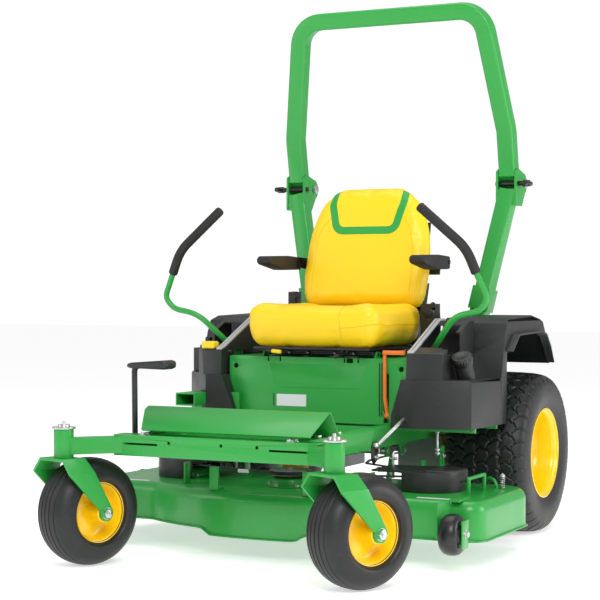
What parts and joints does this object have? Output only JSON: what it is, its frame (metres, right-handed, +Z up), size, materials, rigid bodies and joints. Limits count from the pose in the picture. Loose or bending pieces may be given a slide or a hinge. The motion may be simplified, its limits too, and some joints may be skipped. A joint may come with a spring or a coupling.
{
  "type": "zero turn mower",
  "caption": "Wide-deck ride-on zero turn mower with folding roll hoop, sprung-look yellow seat, lap bars and a side-discharge cutting deck.",
  "frame": {"origin": "centre of the footprint, on the ground", "axes": "+X the rider's left, -Y forward, +Z up"},
  "size_m": [1.587, 1.9065, 1.8905],
  "materials": {
    "green_paint": "semi-gloss powder coat",
    "yellow_paint": "gloss enamel",
    "black_paint": "satin",
    "orange_paint": "satin",
    "black_plastic": "grained matte",
    "grey_plastic": "fine grain",
    "red_plastic": "smooth",
    "yellow_plastic": "smooth",
    "tyre_rubber": "matte moulded",
    "black_foam": "matte",
    "yellow_vinyl": "grained vinyl",
    "zinc_steel": "zinc plated",
    "heat_steel": "dull",
    "cast_metal": "as cast"
  },
  "bodies": {
    "chassis": {"main_frame": "green_paint", "front_axle": "green_paint", "toe_guard": "green_paint", "seat_box": "green_paint", "left_fender": "black_plastic", "right_fender": "black_plastic", "lever_guides": "grey_plastic", "rops_posts": "green_paint", "engine_block": "cast_metal", "engine_shroud": "black_plastic", "muffler": "heat_steel", "transaxles": "cast_metal", "fuel_tank": "black_plastic", "battery": "black_plastic", "control_panel": "black_plastic", "hardware": "zinc_steel"},
    "left_caster": {"left_caster_fork": "green_paint"},
    "right_caster": {"right_caster_fork": "green_paint"},
    "left_caster_wheel": {"left_caster_rim": "yellow_paint", "left_caster_tyre": "tyre_rubber"},
    "right_caster_wheel": {"right_caster_rim": "yellow_paint", "right_caster_tyre": "tyre_rubber"},
    "left_drive_wheel": {"left_drive_rim": "yellow_paint", "left_drive_tyre": "tyre_rubber"},
    "right_drive_wheel": {"right_drive_rim": "yellow_paint", "right_drive_tyre": "tyre_rubber"},
    "left_control": {"left_control_arm": "zinc_steel"},
    "right_control": {"right_control_arm": "zinc_steel"},
    "left_bar": {"left_lap_bar": "green_paint", "left_lap_grip": "black_foam"},
    "right_bar": {"right_lap_bar": "green_paint", "right_lap_grip": "black_foam"},
    "hoop": {"roll_bar": "green_paint"},
    "left_lock": {"left_lock_pin": "black_plastic"},
    "right_lock": {"right_lock_pin": "black_plastic"},
    "seat_base": {"seat_plate": "black_paint"},
    "seat": {"seat_frame": "black_paint", "seat_cushion": "yellow_vinyl", "seat_back": "yellow_vinyl"},
    "left_arm": {"left_armrest": "black_foam"},
    "right_arm": {"right_armrest": "black_foam"},
    "slide_handle": {"slide_lever": "zinc_steel"},
    "buckle": {"buckle_button": "red_plastic"},
    "deck": {"deck_shell": "green_paint", "deck_brackets": "green_paint", "belt_covers": "black_plastic", "belts": "black_foam"},
    "chute": {"discharge_chute": "black_plastic"},
    "left_cutter": {"left_blade": "heat_steel"},
    "center_cutter": {"center_blade": "heat_steel"},
    "right_cutter": {"right_blade": "heat_steel"},
    "left_roller": {"left_deck_wheel": "black_plastic"},
    "right_roller": {"right_deck_wheel": "black_plastic"},
    "pedal": {"lift_pedal": "black_plastic"},
    "lift": {"lift_shaft": "zinc_steel"},
    "lock": {"transport_lock": "orange_paint"},
    "cap": {"fuel_cap": "black_plastic"},
    "pto": {"pto_knob": "yellow_plastic"},
    "throttle": {"throttle_lever": "black_plastic"},
    "crank": {"engine_pulley": "heat_steel"}
  },
  "joints": [
    {"name": "left_caster_swivel", "type": "hinge", "parent": "chassis", "child": "left_caster", "pos_m": [0.5355, -0.86669, 0.38], "axis": [0, 0, 1], "continuous": true},
    {"name": "left_caster_spin", "type": "hinge", "parent": "left_caster", "child": "left_caster_wheel", "pos_m": [0.57671, -0.78221, 0.165], "axis": [0.8988, -0.4384, 0], "continuous": true},
    {"name": "left_drive_spin", "type": "hinge", "parent": "chassis", "child": "left_drive_wheel", "pos_m": [0.5695, 0.50731, 0.28], "axis": [1, 0, 0], "continuous": true},
    {"name": "left_control_pivot", "type": "hinge", "parent": "chassis", "child": "left_control", "pos_m": [0.4475, 0.06231, 0.5], "axis": [1, 0, 0], "range_deg": [-12, 12]},
    {"name": "left_bar_swing", "type": "hinge", "parent": "left_control", "child": "left_bar", "pos_m": [0.4545, 0.06231, 0.628], "axis": [0, 1, 0], "range_deg": [0, 28]},
    {"name": "left_lock_slide", "type": "slide", "parent": "chassis", "child": "left_lock", "axis": [1, 0, 0], "range_m": [0, 0.04]},
    {"name": "left_armrest_hinge", "type": "hinge", "parent": "seat", "child": "left_arm", "pos_m": [0.3735, 0.35731, 0.946], "axis": [1, 0, 0], "range_deg": [-85, 0]},
    {"name": "left_roller_spin", "type": "hinge", "parent": "deck", "child": "left_roller", "pos_m": [0.7345, -0.46769, 0.124], "axis": [1, 0, 0], "continuous": true},
    {"name": "right_caster_swivel", "type": "hinge", "parent": "chassis", "child": "right_caster", "pos_m": [-0.3705, -0.86669, 0.38], "axis": [0, 0, 1], "continuous": true},
    {"name": "right_caster_spin", "type": "hinge", "parent": "right_caster", "child": "right_caster_wheel", "pos_m": [-0.34145, -0.7773, 0.165], "axis": [0.9511, -0.309, 0], "continuous": true},
    {"name": "right_drive_spin", "type": "hinge", "parent": "chassis", "child": "right_drive_wheel", "pos_m": [-0.4045, 0.50731, 0.28], "axis": [1, 0, 0], "continuous": true},
    {"name": "right_control_pivot", "type": "hinge", "parent": "chassis", "child": "right_control", "pos_m": [-0.2825, 0.06231, 0.5], "axis": [1, 0, 0], "range_deg": [-12, 12]},
    {"name": "right_bar_swing", "type": "hinge", "parent": "right_control", "child": "right_bar", "pos_m": [-0.2895, 0.06231, 0.628], "axis": [0, 1, 0], "range_deg": [-28, 0]},
    {"name": "right_lock_slide", "type": "slide", "parent": "chassis", "child": "right_lock", "axis": [-1, 0, 0], "range_m": [0, 0.04]},
    {"name": "right_armrest_hinge", "type": "hinge", "parent": "seat", "child": "right_arm", "pos_m": [-0.2085, 0.35731, 0.946], "axis": [1, 0, 0], "range_deg": [-85, 0]},
    {"name": "right_roller_spin", "type": "hinge", "parent": "deck", "child": "right_roller", "pos_m": [-0.5695, -0.46769, 0.124], "axis": [1, 0, 0], "continuous": true},
    {"name": "rops_fold", "type": "hinge", "parent": "chassis", "child": "hoop", "pos_m": [0.0825, 0.73031, 1.238], "axis": [1, 0, 0], "range_deg": [-120, 0]},
    {"name": "seat_tilt", "type": "hinge", "parent": "chassis", "child": "seat_base", "pos_m": [0.0825, -0.01269, 0.632], "axis": [1, 0, 0], "range_deg": [0, 40]},
    {"name": "seat_slide", "type": "slide", "parent": "seat_base", "child": "seat", "axis": [0, 1, 0], "range_m": [-0.06, 0.04]},
    {"name": "slide_handle_hinge", "type": "hinge", "parent": "seat", "child": "slide_handle", "pos_m": [0.2045, -0.07669, 0.64], "axis": [1, 0, 0], "range_deg": [-10, 0]},
    {"name": "buckle_press", "type": "slide", "parent": "seat", "child": "buckle", "axis": [0, 0, -1], "range_m": [0, 0.004], "stiffness_N_per_m": 300},
    {"name": "deck_lift", "type": "slide", "parent": "chassis", "child": "deck", "axis": [0, 0, 1], "range_m": [-0.03, 0.06], "deforming": ["belts"]},
    {"name": "lift_turn", "type": "hinge", "parent": "chassis", "child": "lift", "pos_m": [0.0825, 0.00731, 0.312], "axis": [1, 0, 0], "range_deg": [-17, 33]},
    {"name": "pedal_turn", "type": "hinge", "parent": "chassis", "child": "pedal", "pos_m": [-0.2455, -0.65769, 0.372], "axis": [1, 0, 0], "range_deg": [-17, 33]},
    {"name": "transport_lock_turn", "type": "hinge", "parent": "chassis", "child": "lock", "pos_m": [0.3445, -0.02869, 0.432], "axis": [1, 0, 0], "range_deg": [0, 12]},
    {"name": "chute_hinge", "type": "hinge", "parent": "deck", "child": "chute", "pos_m": [-0.6285, -0.13769, 0.194], "axis": [0, 1, 0], "range_deg": [0, 75]},
    {"name": "crank_spin", "type": "hinge", "parent": "chassis", "child": "crank", "pos_m": [0.0825, 0.69731, 0.3], "axis": [0, 0, 1], "continuous": true},
    {"name": "left_cutter_spin", "type": "hinge", "parent": "deck", "child": "left_cutter", "pos_m": [0.5225, -0.11769, 0.2], "axis": [0, 0, 1], "continuous": true},
    {"name": "center_cutter_spin", "type": "hinge", "parent": "deck", "child": "center_cutter", "pos_m": [0.0825, -0.23769, 0.2], "axis": [0, 0, 1], "continuous": true},
    {"name": "right_cutter_spin", "type": "hinge", "parent": "deck", "child": "right_cutter", "pos_m": [-0.3575, -0.11769, 0.2], "axis": [0, 0, 1], "continuous": true},
    {"name": "cap_turn", "type": "hinge", "parent": "chassis", "child": "cap", "pos_m": [0.5875, 0.00731, 0.608], "axis": [0, -0.4997, 0.8662], "range_deg": [0, 90]},
    {"name": "pto_pull", "type": "slide", "parent": "chassis", "child": "pto", "axis": [0, 0, 1], "range_m": [0, 0.012]},
    {"name": "throttle_turn", "type": "hinge", "parent": "chassis", "child": "throttle", "pos_m": [-0.4245, 0.11731, 0.594], "axis": [1, 0, 0], "range_deg": [-20, 20]}
  ],
  "couplings": [
    {"joint": "lift_turn", "follows": "deck_lift", "rad_per_m": 9.4},
    {"joint": "pedal_turn", "follows": "deck_lift", "rad_per_m": 9.4},
    {"joint": "left_cutter_spin", "follows": "crank_spin", "ratio": 0.91176},
    {"joint": "center_cutter_spin", "follows": "crank_spin", "ratio": 0.91176},
    {"joint": "right_cutter_spin", "follows": "crank_spin", "ratio": 0.91176}
  ]
}
